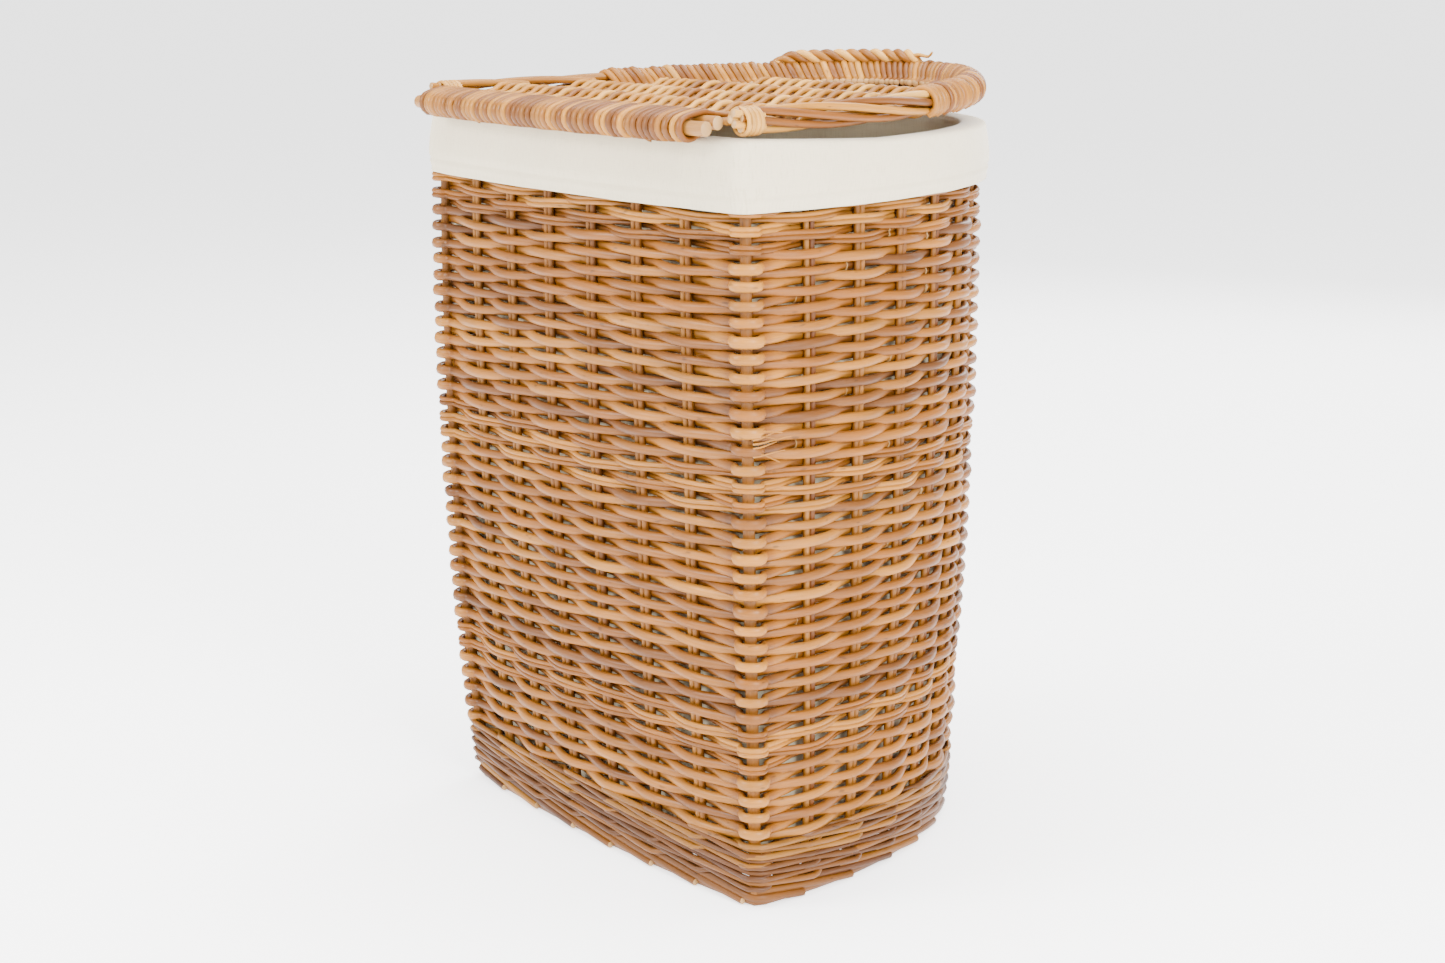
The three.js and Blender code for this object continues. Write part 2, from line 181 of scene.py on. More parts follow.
class Rods:
    """Tubes gathered into one mesh, each with its own tint and its own place in the grain."""

    def __init__(self):
        self.points, self.quads, self.caps = [], [], []
        self.tints, self.grains, self.cuts = [], [], []
        self.count = 0

    def add(self, path, radius, out, sides=8, wide=1.0, tall=1.0, tint=0.5, cap=0.0, closed=False):
        """A tube along path: wide towards out and tall across it, its cut ends marked by cap."""
        path = np.asarray(path, float)
        n = len(path)
        radius, wide, tall = (np.broadcast_to(v, n) for v in (radius, wide, tall))
        ahead = np.roll(path, -1, 0) - np.roll(path, 1, 0) if closed else np.gradient(path, axis=0)
        ahead /= np.linalg.norm(ahead, axis=1)[:, None]
        out = np.broadcast_to(out, path.shape)
        side = out - ahead * np.sum(out * ahead, 1)[:, None]
        side /= np.maximum(np.linalg.norm(side, axis=1), 1e-9)[:, None]
        up = np.cross(ahead, side)
        a = np.arange(sides) * 2 * np.pi / sides
        ring = (side[:, None] * (np.cos(a)[:, None] * wide[:, None, None])
                + up[:, None] * (np.sin(a)[:, None] * tall[:, None, None])) * radius[:, None, None]
        points = (path[:, None] + ring).reshape(-1, 3)
        steps = np.linalg.norm(np.diff(path, axis=0), axis=1)
        far = np.concatenate([[0], np.cumsum(steps)])
        start = rng.uniform(0, 20, 3)
        grain = np.stack([
            np.repeat(far, sides) + start[0],
            (radius[:, None] * np.cos(a)).ravel() + start[1],
            (radius[:, None] * np.sin(a)).ravel() + start[2],
        ], 1)
        tint = np.broadcast_to(tint, n)
        i = np.arange(n if closed else n - 1)[:, None] * sides
        j = np.arange(sides)
        k = (j + 1) % sides
        nxt = (i + sides) % (n * sides)
        quads = np.stack([i + j, i + k, nxt + k, nxt + j], -1).reshape(-1, 4) + self.count
        self._keep(points, quads, None, grain, np.repeat(tint, sides), 0.0)
        if not closed:
            for at, flip in ((0, True), (n - 1, False)):
                tip = points[at * sides:(at + 1) * sides]
                swell = ahead[at] * radius[at] * 0.25 * (-1 if flip else 1)
                inner = path[at] + (tip - path[at]) * 0.6 + swell
                fan = np.concatenate([tip, inner, [path[at] + swell * 1.15]])
                band = np.stack([j, k, k + sides, j + sides], 1)
                tris = np.stack([j + sides, k + sides, np.full(sides, 2 * sides)], 1)
                if flip:
                    band, tris = band[:, ::-1], tris[:, ::-1]
                g = np.tile([start[0] + far[at], start[1], start[2]], (len(fan), 1))
                self._keep(fan, band + self.count, tris + self.count, g, tint[at], cap)

    def _keep(self, points, quads, tris, grain, tint, cut):
        self.points.append(points)
        self.quads.append(quads)
        if tris is not None:
            self.caps.append(tris)
        self.grains.append(grain)
        self.tints.append(np.broadcast_to(tint, len(points)))
        self.cuts.append(np.full(len(points), cut))
        self.count += len(points)

    def mesh(self, name, material, body, slot, *nodes):
        points = np.concatenate(self.points)
        quads = np.concatenate(self.quads)
        tris = np.concatenate(self.caps) if self.caps else np.zeros((0, 3), int)
        obj = new_mesh(name, points, quads, tris)
        data = obj.data
        for attribute, kind, values in (
            ("tint", "FLOAT", np.concatenate(self.tints)),
            ("cut_end", "FLOAT", np.concatenate(self.cuts)),
            ("grain", "FLOAT_VECTOR", np.concatenate(self.grains)),
        ):
            layer = data.attributes.new(attribute, kind, "POINT")
            field = "vector" if kind == "FLOAT_VECTOR" else "value"
            layer.data.foreach_set(field, values.astype("f").ravel())
        data.materials.append(material)
        return settle(obj, body, slot, *nodes)


def new_mesh(name, points, quads, tris):
    data = bpy.data.meshes.new(name)
    data.vertices.add(len(points))
    data.vertices.foreach_set("co", points.astype("f").ravel())
    loops = np.concatenate([quads.ravel(), tris.ravel()]).astype("i")
    data.loops.add(len(loops))
    data.loops.foreach_set("vertex_index", loops)
    sizes = np.concatenate([np.full(len(quads), 4), np.full(len(tris), 3)]).astype("i")
    data.polygons.add(len(sizes))
    data.polygons.foreach_set("loop_start", np.concatenate([[0], np.cumsum(sizes)[:-1]]).astype("i"))
    data.polygons.foreach_set("use_smooth", np.ones(len(sizes), bool))
    data.update(calc_edges=True)
    data.validate()
    obj = bpy.data.objects.new(name, data)
    bpy.context.scene.collection.objects.link(obj)
    return obj


def settle(obj, body, slot, *nodes):
    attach(obj, body)
    if nodes:
        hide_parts(*nodes)
    return obj


def smooth_path(keys, step=0.006):
    """A Catmull-Rom line through key points, sampled about every step."""
    keys = np.asarray(keys, float)
    padded = np.concatenate([[2 * keys[0] - keys[1]], keys, [2 * keys[-1] - keys[-2]]])
    parts = []
    for i in range(1, len(keys)):
        a, b, c, d = padded[i - 1:i + 3]
        n = max(2, int(np.linalg.norm(c - b) / step) + 1)
        t = np.linspace(0, 1, n, endpoint=False)[:, None]
        parts.append(0.5 * (2 * b + (c - a) * t + (2 * a - 5 * b + 4 * c - d) * t ** 2
                            + (3 * b - a - 3 * c + d) * t ** 3))
    return np.concatenate([*parts, keys[-1:]])


# ---- Materials ----

def node_tree(name):
    material = bpy.data.materials.new(name)
    material.use_nodes = True
    tree = material.node_tree
    return material, tree, tree.nodes["Principled BSDF"]


def attribute(tree, name):
    node = tree.nodes.new("ShaderNodeAttribute")
    node.attribute_name = name
    return node


def ramp(tree, factor, stops):
    node = tree.nodes.new("ShaderNodeValToRGB")
    while len(node.color_ramp.elements) < len(stops):
        node.color_ramp.elements.new(0.5)
    for element, (at, colour) in zip(node.color_ramp.elements, stops):
        element.position = at
        element.color = (*colour, 1) if len(colour) == 3 else colour
    tree.links.new(factor, node.inputs[0])
    return node.outputs[0]


def grey(value):
    return (value, value, value)


def mix(tree, kind, factor, a, b):
    node = tree.nodes.new("ShaderNodeMix")
    node.data_type = "RGBA"
    node.blend_type = kind
    if isinstance(factor, float):
        node.inputs["Factor"].default_value = factor
    else:
        tree.links.new(factor, node.inputs["Factor"])
    for socket, value in ((node.inputs[6], a), (node.inputs[7], b)):
        tree.links.new(value, socket)
    return node.outputs[2]


def stretched(tree, vector, scale, detail=3.0):
    """Noise over a vector scaled separately along each axis."""
    mapping = tree.nodes.new("ShaderNodeMapping")
    mapping.inputs["Scale"].default_value = scale
    tree.links.new(vector, mapping.inputs["Vector"])
    noise = tree.nodes.new("ShaderNodeTexNoise")
    noise.inputs["Scale"].default_value = 1.0
    noise.inputs["Detail"].default_value = detail
    tree.links.new(mapping.outputs[0], noise.inputs["Vector"])
    return noise.outputs["Fac"]


def willow(name, dark, middle, light, roughness):
    """Peeled, steamed willow: each rod its own shade, with fibres along it, blotches and bud scars."""
    material, tree, shader = node_tree(name)
    grain = attribute(tree, "grain").outputs["Vector"]
    tint = attribute(tree, "tint").outputs["Fac"]
    rod = ramp(tree, tint, [(0.0, dark), (0.5, middle), (1.0, light)])
    blotch = ramp(tree, stretched(tree, grain, (9.0, 60.0, 60.0)), [(0.3, grey(0.72)), (0.7, grey(1.18))])
    fibre = ramp(tree, stretched(tree, grain, (60.0, 1600.0, 1600.0)), [(0.3, grey(0.84)), (0.7, grey(1.1))])
    scars = ramp(tree, stretched(tree, grain, (90.0, 260.0, 260.0), 1.0),
                 [(0.0, grey(1.0)), (0.70, grey(1.0)), (0.76, grey(0.45))])
    colour = mix(tree, "MULTIPLY", 1.0, rod, blotch)
    colour = mix(tree, "MULTIPLY", 1.0, colour, fibre)
    colour = mix(tree, "MULTIPLY", 0.8, colour, scars)
    pith = ramp(tree, stretched(tree, grain, (900.0, 900.0, 900.0)),
                [(0.3, (0.26, 0.14, 0.045)), (0.7, (0.42, 0.25, 0.10))])
    colour = mix(tree, "MIX", attribute(tree, "cut_end").outputs["Fac"], colour, pith)
    tree.links.new(colour, shader.inputs["Base Color"])
    rough = ramp(tree, stretched(tree, grain, (20.0, 200.0, 200.0)),
                 [(0.3, grey(roughness - 0.08)), (0.7, grey(roughness + 0.14))])
    tree.links.new(rough, shader.inputs["Roughness"])
    shader.inputs["Coat Weight"].default_value = 0.05
    shader.inputs["Coat Roughness"].default_value = 0.25
    shader.inputs["Specular IOR Level"].default_value = 0.25
    bump = tree.nodes.new("ShaderNodeBump")
    bump.inputs["Strength"].default_value = 0.35
    bump.inputs["Distance"].default_value = 0.0004
    tree.links.new(stretched(tree, grain, (70.0, 900.0, 900.0)), bump.inputs["Height"])
    tree.links.new(bump.outputs[0], shader.inputs["Normal"])
    return material


def calico(name):
    """Unbleached cotton: a fine plain weave with slubs, soft and matt."""
    material, tree, shader = node_tree(name)
    thread = attribute(tree, "thread").outputs["Vector"]
    height = None
    for scale in ((1500.0, 90.0, 1.0), (90.0, 1500.0, 1.0)):
        noise = stretched(tree, thread, scale, 2.0)
        height = noise if height is None else mix(tree, "ADD", 0.5, height, noise)
    blotch = ramp(tree, stretched(tree, thread, (9.0, 9.0, 1.0)), [(0.3, grey(0.95)), (0.7, grey(1.03))])
    slub = ramp(tree, height, [(0.35, (0.46, 0.385, 0.250)), (0.75, (0.59, 0.510, 0.355))])
    colour = mix(tree, "MULTIPLY", 1.0, slub, blotch)
    tree.links.new(colour, shader.inputs["Base Color"])
    shader.inputs["Roughness"].default_value = 0.92
    shader.inputs["Sheen Weight"].default_value = 0.25
    shader.inputs["Sheen Roughness"].default_value = 0.5
    bump = tree.nodes.new("ShaderNodeBump")
    bump.inputs["Strength"].default_value = 0.35
    bump.inputs["Distance"].default_value = 0.0003
    tree.links.new(height, bump.inputs["Height"])
    tree.links.new(bump.outputs[0], shader.inputs["Normal"])
    return material


WEAVER = willow("willow_weaver", (0.095, 0.029, 0.002), (0.185, 0.060, 0.004), (0.310, 0.122, 0.013), 0.46)
STAKE = willow("willow_stake", (0.120, 0.034, 0.003), (0.210, 0.075, 0.007), (0.300, 0.120, 0.015), 0.44)
STICK = willow("willow_stick", (0.140, 0.045, 0.006), (0.230, 0.090, 0.014), (0.340, 0.160, 0.036), 0.42)
LID = willow("willow_lid", (0.140, 0.043, 0.003), (0.340, 0.138, 0.012), (0.580, 0.300, 0.060), 0.42)
# The foot and upset use a darker copy of the weaver willow: painted shade on the low rows next to the floor,
# which the glowing floor lights from below.
FOOT_SHADED = willow("willow_foot_shaded", (0.062, 0.018, 0.001), (0.132, 0.043, 0.002), (0.235, 0.095, 0.006), 0.50)
CLOTH = calico("calico")


# ---- The wall ----

def corner_steps(start, end, step):
    """Places from start to end about a step apart, and closer at the corners."""
    near = np.arange(-0.020, 0.0201, 0.0022)
    fine = [c + k * ROUND + d for c in CORNERS for k in range(4) for d in near]
    s = np.sort(np.concatenate([np.arange(start, end, step), [f for f in fine if start < f < end]]))
    return s[np.concatenate([[True], np.diff(s) > 0.0012])]


def weaver(rods, row, start, length, z):
    """One weaver, or two thin ones together, from a place where it is inside the wall to another."""
    s = corner_steps(start - 0.012, start + length + 0.012, 0.0068)
    share = (s - s[0]) / (s[-1] - s[0])
    gap = corner_gap(s)
    phase = np.cos(np.pi * (turn(s) + row))
    outside = phase > 0
    bend = np.exp(-(gap / 0.0085) ** 4) * outside
    dip = 0.0046 * np.exp(-(gap / 0.022) ** 2) * outside
    offset = bend * 0.0096 + (1 - bend) * (0.0057 * phase - dip) + 0.0004 * np.sin(s * 31 + row * 2.1)
    z = z(s)
    tint = rng.normal(0.47, 0.26)
    if row % THIN_EVERY in THIN_ROWS:
        for side in (-1, 1):
            path, out = wall(s, offset, z + side * 0.00185)
            rods.add(path, 0.0023 - 0.0003 * share, out, sides=6, tint=tint + 0.15 + side * 0.08, cap=1)
        return
    radius = (0.0040 - 0.0007 * share) * rng.uniform(0.93, 1.06)
    path, out = wall(s, offset, z)
    tall = 1.10 + 0.05 * bend + 0.24 * np.clip(-phase, 0, 1)
    # The tint is raised where a weaver bends round a corner: partly the paler willow there, partly a painted
    # highlight on the corner column. It is lowered about 14 mm to each side of a corner: painted shade in the
    # recess beside the column.
    shade = tint + 0.32 * bend - 0.30 * np.exp(-((gap - 0.014) / 0.005) ** 2)
    rods.add(path, radius, out, wide=1 - 0.25 * bend, tall=tall, tint=shade, cap=1)


def side_weave():
    """Rows of weavers, in front of one pair of stakes and behind the next, each row against the last."""
    rows = int((WEAVE_TOP - UPSET_TOP) / ROW)
    per_band = -(-rows // BANDS)
    for band in range(BANDS):
        rods = Rods()
        for row in range(band * per_band, min(rows, (band + 1) * per_band)):
            def height(s, row=row):
                a = 2 * np.pi * s / ROUND
                sway = 0.0009 * np.sin(2 * a + 1 + row * 0.07) + 0.0006 * np.sin(5 * a + 3 - row * 0.11)
                ripple = 0.0005 * (np.sin(17 * a + row * 1.7) + np.sin(9 * a + row * 2.9))
                return UPSET_TOP + ROW * (row + 0.5) + sway + ripple
            first = int(rng.integers(0, COUNT // 2)) * 2 + (1 + row) % 2
            joints = [first, first + 2 * int(rng.integers(4, 9)), first + COUNT]
            places = np.concatenate([UPRIGHTS, UPRIGHTS + ROUND, UPRIGHTS + 2 * ROUND])
            for begin, end in zip(joints, joints[1:]):
                weaver(rods, row, places[begin], places[end] - places[begin], height)
        nodes = ["side_weave"] if band == 0 else []
        rods.mesh(f"weave_{band + 1}", WEAVER, "basket", "weaver", *nodes)


def frays():
    """Loose fibres where a weaver has split at the left-hand corner."""
    rods = Rods()
    for k in range(7):
        s = LEFT_CORNER + 0.002 + np.linspace(0, rng.uniform(0.012, 0.030), 12)
        u = np.linspace(0, 1, 12)
        z = 0.366 + 0.0032 * k + rng.uniform(-0.010, 0.008) * u
        path, out = wall(s, 0.0100 + rng.uniform(0.001, 0.006) * u ** 2, z)
        rods.add(path, 0.0009 - 0.0005 * u, out, sides=5, tint=0.95, cap=1)
    rods.mesh("weave_frays", WEAVER, "basket", "weaver")


def upset():
    """Four rounds of waling: each of three rods goes outside two uprights, falling, and inside the third."""
    rods = Rods()
    rounds = 4
    pitch = (UPSET_TOP - UPSET_BOTTOM) / rounds
    s = np.arange(0, ROUND, 0.0055)
    for level in range(rounds):
        for rod in range(3):
            phase = np.mod(turn(s) + rod, 3)
            inside = 0.5 - 0.5 * np.cos(2 * np.pi * np.clip((phase - 2.0) / 1.0, 0, 1))
            offset = 0.0070 - 0.0128 * inside + 0.0012 * np.cos(np.pi * np.clip(phase, 0, 2))
            fall = np.where(phase < 2.0, phase / 2.0, 3.0 - phase)
            ripple = 0.0005 * np.sin(37 * s + level * 2 + rod)
            z = UPSET_BOTTOM + pitch * (level + 0.5) + 0.0046 * (1 - 2 * fall) + ripple
            path, out = wall(s, offset, z)
            radius = 0.0026 + 0.0003 * np.sin(2 * np.pi * s / ROUND + 2 * rod + level)
            rods.add(path, radius * 0.92, out, tint=rng.normal(0.40, 0.28), closed=True)
    rods.mesh("upset_rods", FOOT_SHADED, "basket", "weaver", "upset_wale")


def foot():
    """The rolled foot: each stroke starts high with a cut end, runs past two uprights and tucks under."""
    rods = Rods()
    for i in range(COUNT):
        begin = UPRIGHTS[i] - 0.016
        end = begin + 2.35 * ROUND / COUNT
        s = np.arange(begin, end, 0.006)
        u = (s - begin) / (end - begin)
        z = 0.0152 - 0.0118 * u + rng.normal(0, 0.0004)
        offset = 0.0012 + 0.0048 * u + rng.normal(0, 0.0003)
        path, out = wall(s, offset, z)
        rods.add(path, rng.uniform(0.0036, 0.0042) - 0.0006 * u, out, tint=rng.normal(0.38, 0.25), cap=1)
    s = np.arange(0, ROUND, 0.009)
    for offset, z in ((-0.006, 0.0095), (-0.011, 0.0055), (0.0, 0.0050)):
        path, out = wall(s, offset, z)
        rods.add(path, 0.0048, out, sides=6, tint=0.4, closed=True)
    rods.mesh("foot_rods", FOOT_SHADED, "basket", "weaver", "foot_border")


PAIR_NAMES = [f"stake_pair_{i + 1:02d}" for i in range(BACK_PAIRS + FRONT_PAIRS)]


def stakes():
    """Two rods side by side at each upright, and one thick rod at each corner."""
    rods, posts = Rods(), Rods()
    heights = np.linspace(0.012, 0.588, 36)
    for s in UPRIGHTS:
        if corner_gap(s) < 0.01:
            path, out = wall(np.full(36, s), 0.0, heights)
            posts.add(path, np.linspace(0.0050, 0.0042, 36), out, tint=0.45, cap=1)
            continue
        for side in (-1, 1):
            lean_over = side * 0.00275 + 0.0005 * np.sin(heights * 21 + s * 90)
            path, out = wall(s + lean_over, 0.0, heights)
            rods.add(path, np.linspace(0.0029, 0.0025, 36), out, sides=8, tint=rng.normal(0.5, 0.2), cap=1)
    rods.mesh("stake_rods", STAKE, "basket", "stake", *PAIR_NAMES)
    posts.mesh("corner_posts", STAKE, "basket", "stake", "corner_post_left", "corner_post_right")


def rim_dip(s):
    """How far the rim sinks between the corners, round the sides and the front."""
    front = np.mod(s - LEFT_CORNER, ROUND) / (ROUND - (LEFT_CORNER - CORNERS[0]))
    return 0.0065 * np.clip(np.sin(np.pi * np.clip(front, 0, 1)) * 2.2, 0, 1) * (front < 1)


def top_border():
    """The basket's rim, which the liner is folded over."""
    rods = Rods()
    s = np.arange(0, ROUND, 0.009)
    places = ((-0.0045, 0.5810), (0.0045, 0.5810), (-0.0040, 0.5900), (0.0042, 0.5900))
    for phase, (offset, z) in enumerate(places):
        height = z + 0.0005 * np.sin(s * 55 + phase) - rim_dip(s)
        path, out = wall(s, offset + 0.0006 * np.sin(s * 60 + phase), height)
        rods.add(path, 0.0048, out, tint=rng.normal(0.5, 0.15), closed=True)
    rods.mesh("top_border_rods", WEAVER, "basket", "weaver", "top_border")


def base():
    """The base: sticks from back to front, woven across with rods."""
    sticks, rods = Rods(), Rods()
    xs = [(i - (BASE_STICKS - 1) / 2) * BASE_STICK_GAP for i in range(BASE_STICKS)]
    inside = 0.0165
    for x in xs:
        reach = math.sqrt(1 - (x / (HALF_WIDTH - inside)) ** 2)
        y0 = back_y(x) - inside - 0.002
        y1 = SIDE_END_Y - (SIDE_END_Y + FRONT - inside - 0.002) * reach
        path = leaned(np.column_stack([np.full(14, x), np.linspace(y0, y1, 14), np.full(14, BASE_Z)]))
        sticks.add(path, 0.0043, (0, 0, 1), tint=rng.normal(0.5, 0.2), cap=1)
    y = -FRONT + 0.016
    row = 0
    while y < BACK - 0.010:
        ahead = max(0.0, SIDE_END_Y - y) / (SIDE_END_Y + FRONT - 0.011)
        half = (HALF_WIDTH - 0.011) * math.sqrt(max(0.02, 1 - ahead ** 2))
        n = max(6, int(2 * half / 0.009))
        x = np.linspace(-half, half, n)
        z = BASE_Z + 0.0042 * np.cos(np.pi * ((x - xs[0]) / BASE_STICK_GAP + row))
        path = leaned(np.column_stack([x, np.full(n, y), np.clip(z, 0.0185, 0.0265)]))
        rods.add(path, 0.0029, (0, 0, 1), sides=6, tint=rng.normal(0.5, 0.2), cap=1)
        y += 0.0064
        row += 1
    names = [f"base_stick_{i + 1:02d}" for i in range(BASE_STICKS)]
    sticks.mesh("base_stick_rods", STICK, "basket", "stick", *names)
    rods.mesh("base_rods", WEAVER, "basket", "weaver", "base_weave")


# ---- The lid ----

def axle_y(x):
    """The outer stick's y: it follows the back's bow."""
    return back_y(x) + AXLE_OUT


def border_z(y):
    """The border's height, which rises towards the front."""
    forward = np.clip((back_y(0) - y) / (back_y(0) + FRONT), 0, 1)
    return BORDER_Z + BORDER_CURL * forward ** 2


def border_line(t):
    """Points and outward directions of the border, t from 0 at its left end to 1 at its right end."""
    a, b = BORDER_HALF_WIDTH, BORDER_REACH
    angle = np.linspace(np.pi, 2 * np.pi, 900)
    y = np.linspace(BORDER_END_Y, SIDE_END_Y, 60)[:-1]
    left = np.stack([np.full(len(y), -a), y], 1)
    curve = np.stack([a * np.cos(angle), SIDE_END_Y + b * np.sin(angle)], 1)
    ring = np.concatenate([left, curve, left[::-1] * [-1, 1]])
    far = np.concatenate([[0], np.cumsum(np.hypot(*np.diff(ring, axis=0).T))])

    def place(share):
        return np.stack([np.interp(share * far[-1], far, ring[:, k]) for k in (0, 1)], 1)

    flat = place(np.clip(t, 0, 1))
    ahead = place(np.clip(t + 0.004, 0, 1)) - place(np.clip(t - 0.004, 0, 1))
    ahead /= np.linalg.norm(ahead, axis=1)[:, None]
    out = np.column_stack([ahead[:, 1], -ahead[:, 0], np.zeros(len(flat))])
    return np.column_stack([flat, border_z(flat[:, 1])]), out, far[-1]


def back_sticks():
    """The two bowed sticks at the lid's back: the outer one is the hinge's axle."""
    rods = Rods()
    outer = (0, 0, AXLE_RADIUS, AXLE_HALF)
    inner = (INNER_IN, INNER_UP, INNER_RADIUS, AXLE_HALF - 0.004)
    for inward, above, radius, half in (outer, inner):
        x = np.linspace(-half, half, 48)
        y = axle_y(x) - inward
        path = np.column_stack([x, y, AXLE_Z + above + 0.0004 * np.sin(x * 22)])
        rods.add(path, radius, (0, 0, 1), sides=14, tint=0.75 - inward * 12, cap=1)
    rods.mesh("lid_sticks", STICK, "lid", "stick", "lid_outer_stick", "lid_inner_stick")


def lid_weave():
    """Weavers from back to front: round both back sticks, over and under the ribs, and over the border."""
    rods, ribs = Rods(), Rods()
    pitch = HINGE_X / WRAPS_TO_HINGE
    a, b = BORDER_HALF_WIDTH, BORDER_REACH
    for i in range(LID_WEAVERS):
        x = (i - (LID_WEAVERS - 1) / 2) * pitch + rng.normal(0, 0.0003)
        yo, zo = axle_y(x), AXLE_Z
        yi, zi = yo - INNER_IN, AXLE_Z + INNER_UP
        yb = SIDE_END_Y - b * math.sqrt(max(0.0, 1 - (x / a) ** 2))
        zb = float(border_z(yb))
        # The wraps next to a hinge ring stand a little aside for it.
        aside = abs(x) - HINGE_X
        aside = math.copysign(0.0016, aside * x) if abs(aside) < 0.0050 else 0.0
        keys = [(yi - 0.004, zi - 0.0078), (yi + 0.004, zi - 0.0076), (yo - 0.004, zo - 0.0076),
                (yo + 0.003, zo - 0.0080), (yo + 0.0080, zo - 0.002), (yo + 0.0070, zo + 0.0048),
                (yo + 0.0012, zo + 0.0083), (yi + 0.005, zi + 0.0073)]
        keys += [(yi - 0.003, zi + 0.0074), (yi - 0.0105, LID_Z + 0.0045)]
        if abs(x) > 0.178:      # beside the tie, a weaver starts in front of the sticks
            keys = [(yi - 0.008, LID_Z - 0.001), (yi - 0.012, LID_Z)]
        for r, y in enumerate(RIB_YS):
            if y > yb + 0.022:
                over = 1 if (i + r) % 2 else -1
                keys += [(y + 0.018, LID_Z + over * 0.0004), (y + 0.005, LID_Z + over * 0.0060),
                         (y - 0.005, LID_Z + over * 0.0060), (y - 0.018, LID_Z + over * 0.0004)]
        keys += [(yb + 0.017, LID_Z + 0.0010), (yb + 0.0095, min(zb, LID_Z + 0.003) - 0.001),
                 (yb + 0.004, zb - 0.003)]
        keys = np.array(keys)
        drift = rng.normal(0, 0.0006, 3)
        xs = np.full(len(keys), x)
        xs[:8] += aside * (len(keys) > 14)
        path = smooth_path(np.column_stack([xs, keys]), 0.0065)
        share = np.linspace(0, 1, len(path))
        path[:, 0] += drift[0] * np.sin(3 * share) + drift[1] * np.sin(11 * share)
        path[:, 2] += 0.0002 * np.sin(60 * share + i)
        radius = 0.0030 * rng.uniform(0.92, 1.06) - 0.0003 * share
        shade = rng.normal(0.48, 0.22) - 0.33 * (path[:, 1] > yi - 0.007)
        rods.add(path, radius, (1, 0, 0), wide=1.17, tall=0.88, tint=shade, cap=1)
    for y in RIB_YS:
        half = (a - 0.012) * math.sqrt(1 - ((SIDE_END_Y - y) / (b - 0.012)) ** 2)
        xs = np.linspace(-half, half, 30)
        path = np.column_stack([xs, np.full(30, y), np.full(30, LID_Z)])
        ribs.add(path, 0.0034, (0, 0, 1), tint=rng.uniform(), cap=1)
    # The weavers' ends, wrapped over the border.
    _, _, length = border_line(np.array([0.0]))
    for far in np.arange(0.205, length - 0.165, 0.0064):
        middle, out, _ = border_line(np.array([far / length]))
        middle, out = middle[0], out[0]
        ahead = np.array([-out[1], out[0], 0])
        size = rng.uniform(0.93, 1.08)
        keys = [middle + out * q * size + ahead * lean_over + [0, 0, h * size] for q, h, lean_over in
                ((-0.0220, -0.0040, -0.0050), (-0.0135, -0.0015, -0.0030), (-0.0098, 0.0055, 0.0010),
                 (-0.0030, 0.0114, 0.0050), (0.0045, 0.0104, 0.0070), (0.0098, 0.0040, 0.0080),
                 (0.0098, -0.0040, 0.0080), (0.0040, -0.0088, 0.0070))]
        path = smooth_path(keys, 0.004)
        # These wraps get a darker tint than the other lid weavers: painted shade on the wraps over the
        # border.
        rods.add(path, 0.0031 * rng.uniform(0.9, 1.1), np.cross(out, [0, 0, 1]), tall=0.88,
                 tint=rng.normal(0.22, 0.22), cap=1)
    rods.mesh("lid_weavers", LID, "lid", "lid", "lid_weave")
    ribs.mesh("lid_ribs", STICK, "lid", "stick", *[f"lid_rib_{i + 1:02d}" for i in range(len(RIB_YS))])


def lid_border():
    """The border: long strokes laid over one another along each side and round the front."""
    rods = Rods()
    _, _, length = border_line(np.array([0.0]))
    strands = 4
    for strand in range(strands):
        stroke = 0.26
        begin = -strand * stroke / strands
        while begin < length:
            end = begin + stroke * 1.12
            far = np.arange(max(begin, 0.0), min(end, length), 0.006)
            if len(far) > 4:
                u = (far - begin) / (end - begin)
                middle, out, _ = border_line(far / length)
                angle = 2.6 - 5.0 * u
                ring = 0.0068 - 0.0016 * u ** 4
                path = middle + out * (ring * np.cos(angle) * 0.85)[:, None]
                path[:, 2] += ring * np.sin(angle) * 1.12
                rods.add(path, 0.0034 - 0.0007 * u, out, tint=rng.normal(0.4, 0.3), cap=1)
            begin += stroke
    for side in (-1, 1):
        for aside, height in ((0.0035, 0.0035), (0.0045, -0.0040), (0.0000, -0.0010)):
            keys = [(side * (BORDER_HALF_WIDTH + aside), y, BORDER_Z + height + 0.001 * k)
                    for k, y in enumerate((0.150, 0.162, 0.171, 0.178))]
            rods.add(smooth_path(keys, 0.005), 0.0031, (side, 0, 0), tint=rng.normal(0.5, 0.2), cap=1)
    rods.mesh("lid_border_rods", LID, "lid", "lid", "lid_border")


def ties():
    """The wrapping that holds the border together at each back corner."""
    for side, name in ((-1, "left"), (1, "right")):
        rods = Rods()
        turns = 4
        u = np.linspace(0, 1, 28 * turns)
        angle = 2 * np.pi * turns * u
        y = BORDER_END_Y - 0.002 - 0.016 * u
        x = side * BORDER_HALF_WIDTH
        path = np.column_stack([x + 0.0103 * np.cos(angle), y, border_z(y) + 0.0096 * np.sin(angle)])
        centre = np.column_stack([np.full(len(u), x), y, border_z(y)])
        rods.add(path, 0.0021, path - centre, sides=8, tall=1.05, wide=0.75, tint=0.75, cap=1)
        rods.mesh(f"tie_{name}", LID, "lid", "lid", f"lid_tie_{name}")


